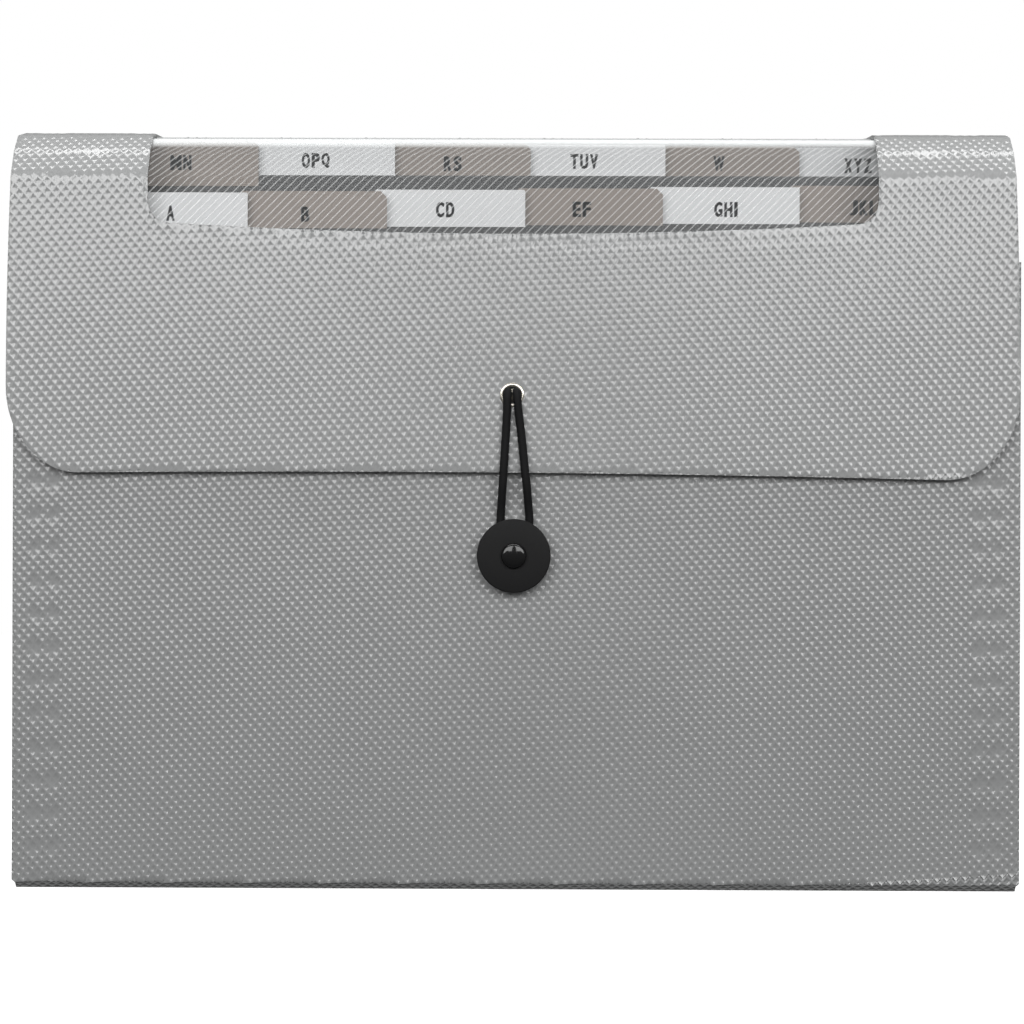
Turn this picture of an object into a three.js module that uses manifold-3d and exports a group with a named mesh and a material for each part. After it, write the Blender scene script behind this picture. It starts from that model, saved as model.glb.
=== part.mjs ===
// Step index organizer: an upright expanding file of polypropylene sheet. Its pockets fan
// between accordion side gussets, two tiers of index tabs step across it, and an arched
// flap with a clear window closes over a riveted button with an elastic loop.
// Millimetres, +Z up, the front faces -Y. The origin is the middle of the flat underside.
import * as THREE from 'three';
import { mergeVertices } from 'three/addons/utils/BufferGeometryUtils.js';
import Module from 'manifold-3d';

const wasm = await Module();
wasm.setup();

// Body: the folded cover
const bodyWidth = 328;
const bodyDepth = 37.6;
const bodyHeight = 250;
const frontPanelDrop = 45;
const bottomBevel = 2.4;
const foldRadius = 1.2;
const bottomRelief = 1;

// Sheets and films
const coverSheet = 0.8;
const flapSheet = 0.8;
const dividerSheet = 0.45;
const gussetFilm = 0.25;
const windowFilm = 0.3;
const labelPaper = 0.2;
const clearance = 0.3;

// Flap: its front hangs clear of the front panel and sits a little to the left of the body
const flapStandOff = 2.8;
const flapShift = -1.3;
const flapTopWidth = 326;
const flapLowWidth = 328.8;
const flapEdgeLeft = 135.6;
const flapEdgeMiddle = 136;
const flapEdgeRight = 134;
const flapCornerWidth = 23.6;
const flapCornerHeight = 28;
// Each crease of the arch: how far behind the flap's front face, how far below its top
const archCreases = [[0, 17.7], [4.9, 9.4], [11.4, 3.4], [19.4, 1.7]];
const archRadius = 3;

// Window cut-out in the flap and the film behind it
const windowWidth = 237;
const windowSillDrop = 36.6;
const windowSillRise = 3.2;
const windowCorner = 8.5;
const windowBackStrip = 5;
const windowFilmLap = 6.5;
const windowFilmBackLap = 1.5;
const windowFilmGap = 0.2;

// Pockets, gussets and index tabs
const tiers = 2;
const tabsPerTier = 6;
const dividerCorner = 3;
const tabWidth = 49.5;
const tabPitch = 45.4;
const tabHeight = 11.6;
const firstTabInset = 9.1;
const backTierShift = 1.7;
const frontTierDrop = 22.6;
const frontTierStep = 0.9;
const backTierDrop = 3;
const labelHeight = 15.3;
const taupeCornerCut = 2;
const whiteCornerCut = 0.4;
const gussetReach = 14;
const gussetFold = 0.4;
const gussetSetBack = 3;
const gussetFrontDrop = 47;
const gussetBackDrop = 22;
const gussetFoot = 3.4;

// Closure: riveted button, eyelet and elastic loop
const buttonHeight = 109;
const buttonShift = -0.6;
const buttonDiameter = 23.9;
const buttonThickness = 1.6;
const buttonRim = 0.5;
const buttonRimBulge = 0.15;
const buttonLip = 2.2;
const buttonDishSlope = 0.8;
const buttonDish = 0.2;
const rivetSeat = 0.3;
const rivetSeatSlope = 0.5;
const spacerDiameter = 7;
const spacerLength = 3.4;
const rivetHeadDiameter = 7.9;
const rivetHeadHeight = 2;
const rivetHeadRim = 0.4;
const rivetShank = 3;
const rivetTailDiameter = 5.2;
const rivetTailLength = 0.7;
const rivetTailRound = 0.3;
const washerDiameter = 8;
const washerThickness = 0.5;
const eyeletHeight = 161.1;
const eyeletFlange = 8;
const eyeletBore = 5.4;
const eyeletWall = 0.3;
const eyeletBrim = 0.45;
const eyeletBrimRound = 0.3;
const eyeletThroatRound = 0.4;
const eyeletRoll = 0.5;
const eyeletRollFoot = 0.4;
const elasticDiameter = 2.3;
const clampWidth = 7;
const clampHeight = 4.2;
const clampThickness = 1.4;
const clampGap = 0.55;

// How long the hole cutters are, and how finely curves are faceted
const drillLength = 12;
const holeFacets = 40;
const buttonFacets = 64;
const rivetFacets = 32;
const eyeletFacets = 36;
const domeFacets = 6;
const foldFacets = 4;
const pleatFacets = 6;
const outlineFacets = 16;
const elasticSteps = 80;
const elasticFacets = 8;

// Faces that several pieces share
const dividers = tiers * tabsPerTier;
const panelFront = -bodyDepth / 2;
const panelInside = panelFront + coverSheet;
const backInside = bodyDepth / 2 - coverSheet;
const pocketPitch = (backInside - panelInside) / (dividers + 1);
const flapFront = panelFront - flapStandOff - flapSheet;
const flapInside = flapFront + flapSheet;
const windowSill = bodyHeight - windowSillDrop;
const dividerWidth = bodyWidth - 2 * (gussetSetBack + gussetReach + clearance);
const beyond = bodyWidth;

// Materials
const sheetGrey = new THREE.MeshStandardMaterial({ color: '#a2a4a6', roughness: 0.45 });
const flapGrey = new THREE.MeshStandardMaterial({ color: '#adafb1', roughness: 0.42 });
const smokyDivider = new THREE.MeshStandardMaterial({ color: '#55575a', roughness: 0.4 });
const clearFilm = new THREE.MeshStandardMaterial({ color: '#e6e9eb', roughness: 0.15 });
const gussetGrey = new THREE.MeshStandardMaterial({ color: '#8e9092', roughness: 0.45 });
const whitePaper = new THREE.MeshStandardMaterial({ color: '#dcdcda', roughness: 0.8 });
const taupePaper = new THREE.MeshStandardMaterial({ color: '#a39d97', roughness: 0.8 });
const blackPlastic = new THREE.MeshStandardMaterial({ color: '#1c1c1e', roughness: 0.6 });
const blackElastic = new THREE.MeshStandardMaterial({ color: '#18181a', roughness: 0.9 });
const nickel = new THREE.MeshStandardMaterial({ color: '#b9b5ae', roughness: 0.3, metalness: 1 });
const blackEnamel = new THREE.MeshStandardMaterial({ color: '#0d0d0f', roughness: 0.12 });

// A path with its corners rounded
function roundedPath(points, radius) {
  const path = [points[0]];
  for (let i = 1; i < points.length - 1; i++) {
    const corner = points[i];
    const back = points[i - 1].clone().sub(corner).normalize();
    const ahead = points[i + 1].clone().sub(corner).normalize();
    const reach = radius / Math.tan(Math.acos(back.dot(ahead)) / 2);
    const start = corner.clone().addScaledVector(back, reach);
    const end = corner.clone().addScaledVector(ahead, reach);
    path.push(...new THREE.QuadraticBezierCurve(start, corner, end).getPoints(foldFacets));
  }
  path.push(points[points.length - 1]);
  return path;
}

// The path moved sideways to its right, with mitred corners
function offsetPath(path, distance) {
  return path.map((point, i) => {
    const before = path[Math.max(i - 1, 0)];
    const after = path[Math.min(i + 1, path.length - 1)];
    const arriving = point.clone().sub(before).normalize();
    const leaving = after.clone().sub(point).normalize();
    if (i === 0) arriving.copy(leaving);
    if (i === path.length - 1) leaving.copy(arriving);
    const along = arriving.clone().add(leaving).normalize();
    const right = new THREE.Vector2(along.y, -along.x);
    return point.clone().addScaledVector(right, distance / along.dot(leaving));
  });
}

// Outline of a sheet whose faces run at two distances to the right of a path
function sheetOutline(path, near, far) {
  return new THREE.Shape([...offsetPath(path, near), ...offsetPath(path, far).reverse()]);
}

// An outline in Y and Z drawn out along X, centred on it
function alongX(outline, width) {
  const geometry = new THREE.ExtrudeGeometry(outline, { depth: width, bevelEnabled: false });
  geometry.translate(0, 0, -width / 2);
  const turn = new THREE.Matrix4().makeBasis(
    new THREE.Vector3(0, 1, 0), new THREE.Vector3(0, 0, 1), new THREE.Vector3(1, 0, 0));
  return geometry.applyMatrix4(turn);
}

// An outline in X and Z as a plate with its front face at frontY
function plate(outline, frontY, thickness) {
  const settings = { depth: thickness, bevelEnabled: false, curveSegments: outlineFacets };
  const geometry = new THREE.ExtrudeGeometry(outline, settings);
  geometry.rotateX(Math.PI / 2);
  return geometry.translate(0, frontY + thickness, 0);
}

// A profile of radius and distance turned about an axis that points forwards from faceY
function turnedForwards(profile, faceY, x, z, segments) {
  const points = profile.map(([radius, forwards]) => new THREE.Vector2(radius, forwards));
  const geometry = new THREE.LatheGeometry(points, segments);
  geometry.rotateX(Math.PI);
  return geometry.translate(x, faceY, z);
}

// A round hole cutter along Y
function holeCutter(diameter, x, y, z) {
  const geometry = new THREE.CylinderGeometry(diameter / 2, diameter / 2, drillLength, holeFacets);
  return geometry.translate(x, y, z);
}

// A closed geometry as a solid that can be cut
function solidOf(geometry) {
  const bare = geometry.clone();
  bare.deleteAttribute('normal');
  bare.deleteAttribute('uv');
  const merged = mergeVertices(bare);
  return new wasm.Manifold(new wasm.Mesh({
    numProp: 3,
    vertProperties: Float32Array.from(merged.attributes.position.array),
    triVerts: Uint32Array.from(merged.index.array),
  }));
}

// A cut solid as a geometry again
function geometryOf(solid) {
  const mesh = solid.getMesh();
  const geometry = new THREE.BufferGeometry();
  geometry.setAttribute('position', new THREE.BufferAttribute(mesh.vertProperties, 3));
  geometry.setIndex(new THREE.BufferAttribute(mesh.triVerts, 1));
  geometry.computeVertexNormals();
  return geometry;
}

function named(name, geometry, material) {
  const mesh = new THREE.Mesh(geometry, material);
  mesh.name = name;
  return mesh;
}

// Cover: one sheet folded into back panel, bevelled bottom and front panel
function makeCover() {
  const halfDepth = bodyDepth / 2;
  const backTop = bodyHeight - flapSheet - clearance;
  const outside = roundedPath([
    new THREE.Vector2(halfDepth, backTop),
    new THREE.Vector2(halfDepth, bottomBevel),
    new THREE.Vector2(halfDepth - bottomBevel, 0),
    new THREE.Vector2(-halfDepth + bottomBevel, 0),
    new THREE.Vector2(-halfDepth, bottomBevel),
    new THREE.Vector2(-halfDepth, bodyHeight - frontPanelDrop),
  ], foldRadius);
  const folded = solidOf(alongX(sheetOutline(outside, 0, coverSheet), bodyWidth));
  const halfWidth = bodyWidth / 2;
  const reliefTop = bottomBevel - bottomRelief / 2;
  const reliefs = [-1, 1].map((side) => plate(new THREE.Shape([
    new THREE.Vector2(side * (halfWidth - bottomRelief), -bottomBevel),
    new THREE.Vector2(side * (halfWidth - bottomRelief), reliefTop),
    new THREE.Vector2(side * (halfWidth + bottomRelief), reliefTop + 2 * bottomRelief),
    new THREE.Vector2(side * (halfWidth + bottomRelief), -bottomBevel),
  ]), -bodyDepth, 2 * bodyDepth));
  const rivetHole = holeCutter(rivetShank + 2 * clearance, buttonShift, panelFront, buttonHeight);
  const cut = [...reliefs, rivetHole].reduce((left, cutter) => left.subtract(solidOf(cutter)), folded);
  return named('cover', geometryOf(cut), sheetGrey);
}

// The flap's outer face from a given height in front, over the arch, to a given depth
function flapPath(lowZ, backY) {
  const creases = archCreases.map(([behind, below]) =>
    new THREE.Vector2(flapFront + behind, bodyHeight - below));
  const lastCrease = creases[creases.length - 1];
  const slope = (bodyHeight - lastCrease.y) / (bodyDepth / 2 - lastCrease.x);
  const backZ = lastCrease.y + slope * (backY - lastCrease.x);
  return roundedPath([
    new THREE.Vector2(flapFront, lowZ), ...creases, new THREE.Vector2(backY, backZ),
  ], archRadius);
}

// The flap seen from the front: flared sides, elliptical lower corners, a bowed lower edge
function flapFrontOutline() {
  const top = flapTopWidth / 2;
  const low = flapLowWidth / 2;
  const archFoot = bodyHeight - archCreases[0][1];
  const leftCorner = flapEdgeLeft + flapCornerHeight;
  const rightCorner = flapEdgeRight + flapCornerHeight;
  const edgeEnd = low - flapCornerWidth;
  const edgeBow = 2 * flapEdgeMiddle - (flapEdgeLeft + flapEdgeRight) / 2;
  const outline = new THREE.Shape();
  outline.moveTo(-top, bodyHeight + beyond);
  outline.lineTo(-top, archFoot);
  outline.quadraticCurveTo(-low, (archFoot + leftCorner) / 2, -low, leftCorner);
  outline.absellipse(-edgeEnd, leftCorner, flapCornerWidth, flapCornerHeight, Math.PI, 1.5 * Math.PI);
  outline.quadraticCurveTo(0, edgeBow, edgeEnd, flapEdgeRight);
  outline.absellipse(edgeEnd, rightCorner, flapCornerWidth, flapCornerHeight, 1.5 * Math.PI, 2 * Math.PI);
  outline.quadraticCurveTo(low, (archFoot + rightCorner) / 2, top, archFoot);
  outline.lineTo(top, bodyHeight + beyond);
  return outline;
}

// The window cut-out seen from the front: round lower corners and a sagging sill
function windowOutline() {
  const half = windowWidth / 2;
  const sillEnd = windowSill + windowSillRise;
  const outline = new THREE.Shape();
  outline.moveTo(-half, bodyHeight + beyond);
  outline.lineTo(-half, sillEnd + windowCorner);
  outline.quadraticCurveTo(-half, sillEnd, -half + windowCorner, sillEnd);
  outline.quadraticCurveTo(0, windowSill - windowSillRise, half - windowCorner, sillEnd);
  outline.quadraticCurveTo(half, sillEnd, half, sillEnd + windowCorner);
  outline.lineTo(half, bodyHeight + beyond);
  return outline;
}

// Flap: the arched sheet, trimmed to its outline, with window and eyelet hole cut out
function makeFlap() {
  const lowest = Math.min(flapEdgeLeft, flapEdgeRight) - flapSheet;
  const arched = solidOf(alongX(
    sheetOutline(flapPath(lowest, bodyDepth / 2), 0, flapSheet), flapLowWidth + beyond));
  const outline = solidOf(plate(flapFrontOutline(), -beyond, 2 * beyond));
  const windowDepth = beyond + bodyDepth / 2 - windowBackStrip;
  const opening = solidOf(plate(windowOutline(), -beyond, windowDepth));
  const eyeletHole = solidOf(
    holeCutter(eyeletBore + 2 * (eyeletWall + clearance), 0, flapFront, eyeletHeight));
  const trimmed = arched.intersect(outline).subtract(opening).subtract(eyeletHole);
  const flap = named('flap', geometryOf(trimmed), flapGrey);
  flap.position.x = flapShift;
  return flap;
}

// Window film: clear film that follows the inside of the arch and laps the cut-out
function makeWindowFilm() {
  const backY = bodyDepth / 2 - windowBackStrip + windowFilmBackLap;
  const path = flapPath(windowSill - windowFilmLap, backY);
  const near = flapSheet + windowFilmGap;
  const outline = sheetOutline(path, near, near + windowFilm);
  const film = named('window_film', alongX(outline, windowWidth + 2 * windowFilmLap), clearFilm);
  film.position.x = flapShift;
  return film;
}

// One accordion gusset: flat flanges on both panels, an inner fold at each divider's edge
// and an outer fold between each two, with its top cut on a slope
function makeGusset(name, side) {
  const innerFoldX = dividerWidth / 2 + clearance + gussetFilm / 2 + gussetFold;
  const outerFoldX = dividerWidth / 2 + clearance + gussetReach - gussetFilm / 2 - gussetFold;
  const flangeX = dividerWidth / 2 + clearance;
  const frontFlange = panelInside + gussetFilm / 2;
  const backFlange = backInside - gussetFilm / 2;
  const path = [new THREE.Vector2(side * flangeX, frontFlange)];
  const fold = (x, y, outwards) => {
    for (let step = 0; step <= pleatFacets; step++) {
      const angle = (step / pleatFacets - 0.5) * Math.PI;
      path.push(new THREE.Vector2(
        side * (x + outwards * gussetFold * Math.cos(angle)), y + gussetFold * Math.sin(angle)));
    }
  };
  for (let k = 1; k <= dividers; k++) {
    const dividerY = panelInside + k * pocketPitch;
    fold(outerFoldX, k === 1 ? frontFlange + gussetFold : dividerY - pocketPitch / 2, 1);
    fold(innerFoldX, dividerY, -1);
  }
  fold(outerFoldX, backFlange - gussetFold, 1);
  path.push(new THREE.Vector2(side * flangeX, backFlange));
  const outline = sheetOutline(path, -gussetFilm / 2, gussetFilm / 2);
  const settings = { depth: bodyHeight, bevelEnabled: false };
  const pleated = new THREE.ExtrudeGeometry(outline, settings).translate(0, 0, gussetFoot);
  const frontTop = bodyHeight - gussetFrontDrop;
  const backTop = bodyHeight - gussetBackDrop;
  const aboveSlope = new THREE.Shape([
    new THREE.Vector2(panelInside, frontTop),
    new THREE.Vector2(backInside, backTop),
    new THREE.Vector2(backInside + coverSheet, backTop),
    new THREE.Vector2(backInside + coverSheet, 2 * bodyHeight),
    new THREE.Vector2(panelFront, 2 * bodyHeight),
    new THREE.Vector2(panelFront, frontTop),
  ]);
  const cut = solidOf(pleated).subtract(solidOf(alongX(aboveSlope, 2 * beyond)));
  return named(name, geometryOf(cut), gussetGrey);
}

// Where the index tab of one divider stands
function tabPlace(index) {
  const tier = Math.floor(index / tabsPerTier);
  const place = index % tabsPerTier;
  const left = -dividerWidth / 2 + firstTabInset + tier * backTierShift + place * tabPitch;
  const drop = tier === 0 ? frontTierDrop - place * frontTierStep : backTierDrop;
  const top = bodyHeight - drop;
  return { left, right: left + tabWidth, top, shoulder: top - tabHeight };
}

// A divider: a pocket wall with one index tab standing above its shoulder
function makeDivider(index, cornerCut) {
  const tab = tabPlace(index);
  const half = dividerWidth / 2;
  const outline = new THREE.Shape();
  outline.moveTo(-half, coverSheet + clearance);
  outline.lineTo(half, coverSheet + clearance);
  outline.lineTo(half, tab.shoulder - dividerCorner);
  outline.quadraticCurveTo(half, tab.shoulder, half - dividerCorner, tab.shoulder);
  outline.lineTo(tab.right, tab.shoulder);
  outline.lineTo(tab.right, tab.top - cornerCut);
  outline.lineTo(tab.right - cornerCut, tab.top);
  outline.lineTo(tab.left + cornerCut, tab.top);
  outline.lineTo(tab.left, tab.top - cornerCut);
  outline.lineTo(tab.left, tab.shoulder);
  outline.lineTo(-half + dividerCorner, tab.shoulder);
  outline.quadraticCurveTo(-half, tab.shoulder, -half, tab.shoulder - dividerCorner);
  const divider = named(`divider_${index + 1}`, plate(outline, -dividerSheet / 2, dividerSheet), smokyDivider);
  divider.position.y = panelInside + (index + 1) * pocketPitch;
  return divider;
}

// A paper label on the front of a tab, running a little below the divider's shoulder
function makeLabel(index, letters, cornerCut, paper) {
  const tab = tabPlace(index);
  const bottom = tab.top - labelHeight;
  const outline = new THREE.Shape([
    new THREE.Vector2(tab.left, bottom),
    new THREE.Vector2(tab.right, bottom),
    new THREE.Vector2(tab.right, tab.top - cornerCut),
    new THREE.Vector2(tab.right - cornerCut, tab.top),
    new THREE.Vector2(tab.left + cornerCut, tab.top),
    new THREE.Vector2(tab.left, tab.top - cornerCut),
  ]);
  const label = named(`label_${letters}`, plate(outline, -labelPaper, labelPaper), paper);
  label.position.y = panelInside + (index + 1) * pocketPitch - dividerSheet / 2;
  return label;
}

// Button: a round disc with a rolled rim and a slightly dished face
function makeButton() {
  const radius = buttonDiameter / 2;
  const back = spacerLength;
  const face = spacerLength + buttonThickness;
  const bore = rivetShank / 2 + clearance;
  const dishOuter = radius - buttonLip;
  const dishInner = rivetHeadDiameter / 2 + rivetSeat;
  const profile = [
    [bore, back],
    [radius - buttonRim, back],
    [radius - buttonRimBulge, back + buttonRimBulge],
    [radius, back + buttonRim],
    [radius, face - buttonRim],
    [radius - buttonRimBulge, face - buttonRimBulge],
    [radius - buttonRim, face],
    [dishOuter, face],
    [dishOuter - buttonDishSlope, face - buttonDish],
    [dishInner + rivetSeatSlope, face - buttonDish],
    [dishInner, face],
    [bore, face],
    [bore, back],
  ];
  const button = turnedForwards(profile, panelFront, buttonShift, buttonHeight, buttonFacets);
  return named('button', button, blackPlastic);
}

// Spacer: the collar between panel and button that leaves room for the elastic
function makeSpacer() {
  const outer = spacerDiameter / 2;
  const bore = rivetShank / 2 + clearance;
  const profile = [[bore, 0], [outer, 0], [outer, spacerLength], [bore, spacerLength], [bore, 0]];
  const spacer = turnedForwards(profile, panelFront, buttonShift, buttonHeight, rivetFacets);
  return named('button_spacer', spacer, blackPlastic);
}

// Rivet: a domed head on the button, a shank through the stack and a set tail inside
function makeRivet() {
  const head = spacerLength + buttonThickness;
  const tail = -coverSheet - washerThickness;
  const headRadius = rivetHeadDiameter / 2;
  const tailRadius = rivetTailDiameter / 2;
  const profile = [
    [0, tail - rivetTailLength],
    [tailRadius - rivetTailRound, tail - rivetTailLength],
    [tailRadius, tail - rivetTailLength / 2],
    [tailRadius, tail],
    [rivetShank / 2, tail],
    [rivetShank / 2, head],
    [headRadius, head],
  ];
  const domeHeight = rivetHeadHeight - rivetHeadRim;
  for (let step = 0; step < domeFacets; step++) {
    const angle = step / domeFacets * Math.PI / 2;
    profile.push([headRadius * Math.cos(angle), head + rivetHeadRim + domeHeight * Math.sin(angle)]);
  }
  profile.push([0, head + rivetHeadHeight]);
  const rivet = turnedForwards(profile, panelFront, buttonShift, buttonHeight, rivetFacets);
  return named('button_rivet', rivet, blackEnamel);
}

// Washer: the ring under the rivet's tail, inside the front panel
function makeWasher() {
  const outer = washerDiameter / 2;
  const bore = rivetShank / 2 + clearance;
  const front = -coverSheet;
  const back = -coverSheet - washerThickness;
  const profile = [[bore, back], [outer, back], [outer, front], [bore, front], [bore, back]];
  const washer = turnedForwards(profile, panelFront, buttonShift, buttonHeight, rivetFacets);
  return named('rivet_washer', washer, nickel);
}

// Eyelet: a brim outside the flap, a barrel through it and a rolled edge inside
function makeEyelet() {
  const bore = eyeletBore / 2;
  const barrel = bore + eyeletWall;
  const brim = eyeletFlange / 2;
  const back = -flapSheet;
  const profile = [
    [bore, back - eyeletBrim],
    [brim - eyeletRoll, back - eyeletBrim],
    [brim - eyeletRoll / 2, back - eyeletBrim / 2],
    [brim - eyeletRollFoot, back],
    [barrel, back],
    [barrel, 0],
    [brim, 0],
    [brim, eyeletBrim / 2],
    [brim - eyeletBrimRound, eyeletBrim],
    [bore + eyeletThroatRound, eyeletBrim],
    [bore, eyeletBrim / 2],
    [bore, back - eyeletBrim],
  ];
  const eyelet = turnedForwards(profile, flapFront, flapShift, eyeletHeight, eyeletFacets);
  return named('eyelet', eyelet, nickel);
}

// Elastic loop: out through the eyelet, down over the flap, round the button's spacer and back
function makeElastic() {
  const points = [
    [-2.6, -20.9, 161.1], [-2.6, -22.7, 161.1], [-2.7, -24.2, 160.2], [-2.8, -24.8, 158.4],
    [-2.9, -24.5, 155.6], [-3.2, -24.1, 150], [-3.7, -24, 141], [-4, -24, 136],
    [-4.3, -23.5, 131], [-4.7, -21.4, 125], [-4.9, -20.6, 121], [-5.4, -20.5, 114],
    [-5.55, -20.5, 109], [-4.1, -20.5, 105.5], [-0.6, -20.5, 104.05], [2.9, -20.5, 105.5],
    [4.35, -20.5, 109], [4.3, -20.5, 114], [4.4, -20.6, 121], [4.1, -21.4, 125],
    [3.6, -23.5, 131], [3, -24, 136], [2.5, -24, 141], [1.5, -24.1, 150],
    [0.6, -24.5, 155.6], [0.2, -24.8, 158.4], [0.1, -24.2, 160.2], [0, -22.7, 161.1],
    [0, -20.9, 161.1],
  ];
  const route = new THREE.CatmullRomCurve3(points.map((point) => new THREE.Vector3(...point)));
  const section = new THREE.Shape();
  section.absarc(0, 0, elasticDiameter / 2, 0, 2 * Math.PI);
  const settings = {
    steps: elasticSteps, curveSegments: elasticFacets, bevelEnabled: false, extrudePath: route,
  };
  return named('elastic_loop', new THREE.ExtrudeGeometry(section, settings), blackElastic);
}

// Clamp: the crimped bar behind the eyelet that the elastic's two ends meet
function makeClamp() {
  const half = clampWidth / 2 - clampHeight / 2;
  const outline = new THREE.Shape();
  outline.absarc(half, 0, clampHeight / 2, -Math.PI / 2, Math.PI / 2);
  outline.absarc(-half, 0, clampHeight / 2, Math.PI / 2, 1.5 * Math.PI);
  const front = flapInside + eyeletBrim + clampGap;
  const clamp = named('elastic_clamp', plate(outline, front, clampThickness), nickel);
  clamp.position.set(flapShift, 0, eyeletHeight);
  return clamp;
}

// Index letters in order, front tier first, and whether each label is taupe
const indexLabels = [
  ['a', false], ['b', true], ['cd', false], ['ef', true], ['ghi', false], ['jkl', true],
  ['mn', true], ['opq', false], ['rs', true], ['tuv', false], ['w', true], ['xyz', false],
];

const body = new THREE.Group();
body.add(makeCover(), makeGusset('gusset_left', -1), makeGusset('gusset_right', 1));
indexLabels.forEach(([letters, taupe], k) => {
  const cornerCut = taupe ? taupeCornerCut : whiteCornerCut;
  const paper = taupe ? taupePaper : whitePaper;
  body.add(makeDivider(k, cornerCut), makeLabel(k, letters, cornerCut, paper));
});
body.add(makeButton(), makeSpacer(), makeRivet(), makeWasher());

const flapAssembly = new THREE.Group();
flapAssembly.add(makeFlap(), makeWindowFilm(), makeEyelet(), makeElastic(), makeClamp());

const organizer = new THREE.Group();
organizer.add(body, flapAssembly);

export default organizer;
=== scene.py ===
import math

import bmesh
import bpy
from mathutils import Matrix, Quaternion, Vector


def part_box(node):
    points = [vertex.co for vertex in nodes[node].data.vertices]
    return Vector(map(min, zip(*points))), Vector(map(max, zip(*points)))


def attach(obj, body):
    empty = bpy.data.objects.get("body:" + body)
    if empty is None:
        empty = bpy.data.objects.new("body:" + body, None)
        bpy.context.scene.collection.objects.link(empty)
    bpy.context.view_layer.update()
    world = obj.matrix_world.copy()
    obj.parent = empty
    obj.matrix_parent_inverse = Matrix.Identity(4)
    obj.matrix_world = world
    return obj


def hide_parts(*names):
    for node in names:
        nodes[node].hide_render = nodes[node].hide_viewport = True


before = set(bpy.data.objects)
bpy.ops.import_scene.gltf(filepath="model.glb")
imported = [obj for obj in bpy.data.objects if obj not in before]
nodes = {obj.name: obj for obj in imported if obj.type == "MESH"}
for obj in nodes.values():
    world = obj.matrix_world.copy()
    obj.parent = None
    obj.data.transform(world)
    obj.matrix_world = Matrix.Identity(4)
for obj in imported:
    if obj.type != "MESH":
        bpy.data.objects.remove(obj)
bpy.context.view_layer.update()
scene = bpy.context.scene
scene.view_settings.view_transform = "Standard"

# Studio: the camera stands 0.8 m in front of the front panel, a few millimetres to the
# right and rolled a fifth of a degree. The floor is pale matt card, with a long softbox
# overhead and a wide one on each side of the camera, a little above it.
panel_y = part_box("cover")[0].y
camera_distance, camera_shift = 0.8, 0.006
camera_roll = math.radians(0.2)
axis_x, axis_z = -0.00124, 0.1232
camera = bpy.data.objects.new("camera", bpy.data.cameras.new("camera"))
scene.collection.objects.link(camera)
scene.camera = camera
camera.data.lens = 86.4
camera.location = (axis_x + camera_shift, panel_y - camera_distance, axis_z)
aim = Vector((axis_x, panel_y, axis_z)) - camera.location
camera.rotation_mode = "QUATERNION"
camera.rotation_quaternion = aim.to_track_quat("-Z", "Y") @ Quaternion((0, 0, 1), camera_roll)


def linear(hex_colour):
    """An sRGB hex colour as linear RGBA."""
    channels = [int(hex_colour[i:i + 2], 16) / 255 for i in (1, 3, 5)]
    return [c / 12.92 if c <= 0.04045 else ((c + 0.055) / 1.055) ** 2.4 for c in channels] + [1]


def add(tree, kind, inputs=None, **settings):
    """A node with its settings, and its inputs set to values or linked to sockets."""
    node = tree.nodes.new(kind)
    for name, value in settings.items():
        setattr(node, name, value)
    for key, value in (inputs or {}).items():
        if isinstance(value, bpy.types.NodeSocket):
            tree.links.new(value, node.inputs[key])
        else:
            node.inputs[key].default_value = value
    return node


def new_material(name):
    """An empty material, its node tree and its output's surface socket."""
    material = bpy.data.materials.new(name)
    material.use_nodes = True
    material.node_tree.nodes.clear()
    output = add(material.node_tree, "ShaderNodeOutputMaterial")
    return material, material.node_tree, output.inputs["Surface"]


def softbox(name, power, size, place, target):
    """A rectangular area light that points at a target."""
    light = bpy.data.lights.new(name, "AREA")
    light.shape = "RECTANGLE"
    light.energy = power
    light.size, light.size_y = size
    lamp = bpy.data.objects.new(name, light)
    scene.collection.objects.link(lamp)
    lamp.location = place
    lamp.rotation_mode = "QUATERNION"
    lamp.rotation_quaternion = (Vector(target) - Vector(place)).to_track_quat("-Z", "Y")


lit_spot = (0, 0, 0.2)
softbox("overhead_softbox", 6.5, (1.3, 0.22), (0, -0.12, 1.15), lit_spot)
softbox("left_softbox", 9.3, (0.98, 0.6), (-0.52, -1.2, 0.62), lit_spot)
softbox("right_softbox", 9.8, (0.98, 0.6), (0.54, -1.2, 0.62), lit_spot)

# The room is dim at the floor and brighter overhead, and a camera sees it as plain white
room_low, room_high = 0.12, 0.36
scene.world = bpy.data.worlds.new("studio")
scene.world.use_nodes = True
world_tree = scene.world.node_tree
world_tree.nodes.clear()
sees_camera = add(world_tree, "ShaderNodeLightPath").outputs["Is Camera Ray"]
around = add(world_tree, "ShaderNodeTexCoord").outputs["Generated"]
height = add(world_tree, "ShaderNodeSeparateXYZ", {0: around}).outputs[2]
ceiling = add(world_tree, "ShaderNodeMapRange", {
    0: height, 1: -0.4, 2: 0.4, 3: room_low, 4: room_high}).outputs[0]
room_light = add(world_tree, "ShaderNodeMix", {0: sees_camera, 2: ceiling, 3: 1.0}).outputs[0]
background = add(world_tree, "ShaderNodeBackground", {"Color": (1, 1, 1, 1), "Strength": room_light})
add(world_tree, "ShaderNodeOutputWorld", {"Surface": background.outputs[0]})

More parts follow.
